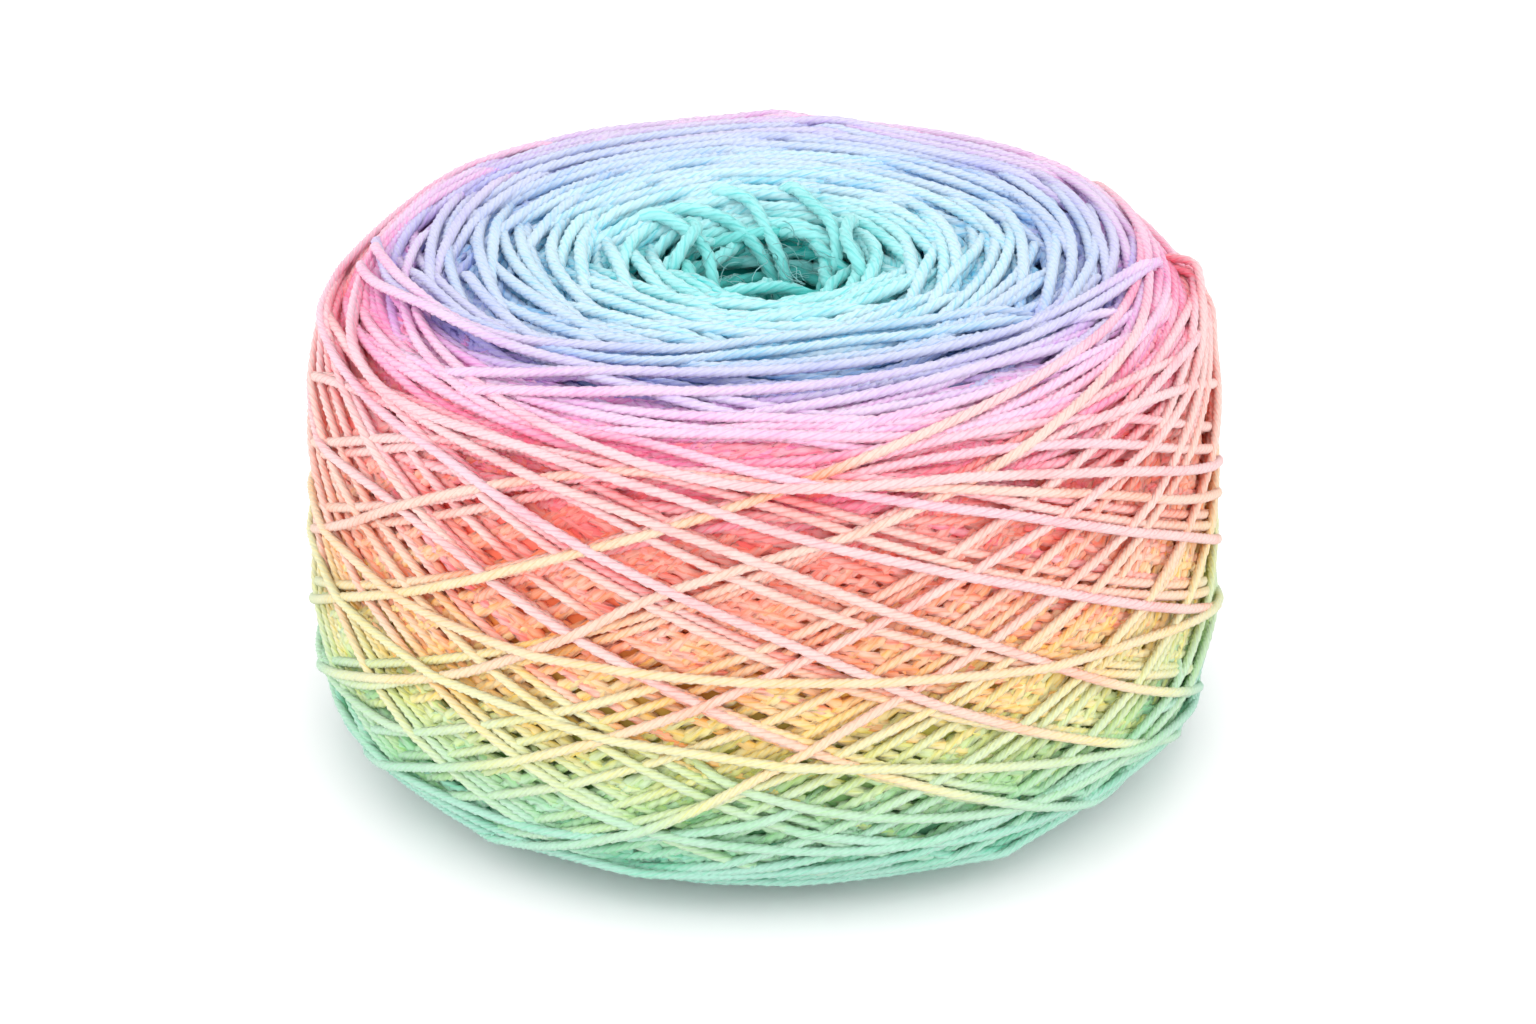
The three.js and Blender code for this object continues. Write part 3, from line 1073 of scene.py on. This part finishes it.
def core_piece():
    """The winding's inside, seen only between strands."""
    places = np.linspace(0, section.place[-1], CORE_ROWS)
    around = np.linspace(0, 2 * math.pi, CORE_COLUMNS, endpoint=False)
    angle, place = np.meshgrid(around, places)
    dye = section.at(section.dye, place.ravel())
    points = set_points(angle.ravel(), place.ravel(), np.interp(dye, *CORE_LEVELS))
    rows, columns = angle.shape
    low, high = points[:columns].mean(axis=0), points[-columns:].mean(axis=0)
    points = np.vstack([points, low, high])
    faces = []
    for row in range(rows - 1):
        for column in range(columns):
            after = (column + 1) % columns
            faces.append((row * columns + column, (row + 1) * columns + column,
                          (row + 1) * columns + after, row * columns + after))
    for column in range(columns):
        after = (column + 1) % columns
        faces.append((rows * columns, column, after))
        faces.append((rows * columns + 1, (rows - 1) * columns + after, (rows - 1) * columns + column))
    mesh = bpy.data.meshes.new("core")
    mesh.from_pydata([tuple(p * MM) for p in points], [], faces)
    mesh.polygons.foreach_set("use_smooth", [True] * len(mesh.polygons))
    add_attribute(mesh, "dye", np.append(dye, [CORE_HOLLOW_DYE, DYE_END]))
    # painted shade: the core takes nearly the full shade colour wherever it shows between strands
    add_attribute(mesh, "sunk", np.full(len(points), CORE_SHADE_DEPTH))
    return add_piece("core", mesh)


core = core_piece()
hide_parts("cake")


def set_stage():
    mesh = bpy.data.meshes.new("floor")
    corners = [(-FLOOR_REACH, -FLOOR_REACH, 0), (FLOOR_REACH, -FLOOR_REACH, 0),
               (FLOOR_REACH, FLOOR_REACH, 0), (-FLOOR_REACH, FLOOR_REACH, 0)]
    mesh.from_pydata(corners, [], [(0, 1, 2, 3)])
    floor = bpy.data.objects.new("floor", mesh)
    bpy.context.collection.objects.link(floor)
    material = bpy.data.materials.new("floor")
    material.use_nodes = True
    shader = material.node_tree.nodes["Principled BSDF"]
    shader.inputs["Base Color"].default_value = FLOOR_COLOUR
    shader.inputs["Roughness"].default_value = 0.9
    shader.inputs["Specular IOR Level"].default_value = 0.0
    mesh.materials.append(material)


# Each soft light's name, its place and size in metres, and its power in watts
LIGHTS = [
    ("key", (0.0, -1.0, 0.68), 1.6, 5.5),
    ("top", (0.05, 0.25, 1.2), 1.0, 1.5),
    ("left", (-1.0, -0.35, 0.45), 1.0, 3.2),
    ("right", (1.0, -0.35, 0.45), 1.0, 3.2),
]


def set_lights():
    world = bpy.context.scene.world or bpy.data.worlds.new("world")
    bpy.context.scene.world = world
    world.use_nodes = True
    background = world.node_tree.nodes["Background"]
    background.inputs["Color"].default_value = (1, 1, 1, 1)
    background.inputs["Strength"].default_value = WORLD_STRENGTH
    for name, place, size, power in LIGHTS:
        light = bpy.data.lights.new(name, "AREA")
        light.shape = "DISK"
        light.size = size
        light.energy = power
        lamp = bpy.data.objects.new(name, light)
        lamp.location = place
        lamp.rotation_euler = (LIGHT_AIM - Vector(place)).to_track_quat("-Z", "Y").to_euler()
        bpy.context.collection.objects.link(lamp)


def set_camera():
    camera = bpy.data.cameras.new("camera")
    camera.sensor_width = SENSOR
    camera.lens = FOCAL_PIXELS / PHOTO_WIDTH * SENSOR
    camera.clip_start = 0.01
    eye = bpy.data.objects.new("camera", camera)
    away = Vector((0, -math.cos(CAMERA_RISE), math.sin(CAMERA_RISE)))
    eye.location = AIM + away * CAMERA_REACH
    eye.rotation_euler = (-away).to_track_quat("-Z", "Y").to_euler()
    bpy.context.collection.objects.link(eye)
    bpy.context.scene.camera = eye


set_camera()
set_stage()
set_lights()
bpy.context.scene.view_settings.view_transform = "Standard"
bpy.context.scene.view_settings.gamma = 1.05
bpy.context.scene.cycles.diffuse_bounces = 12
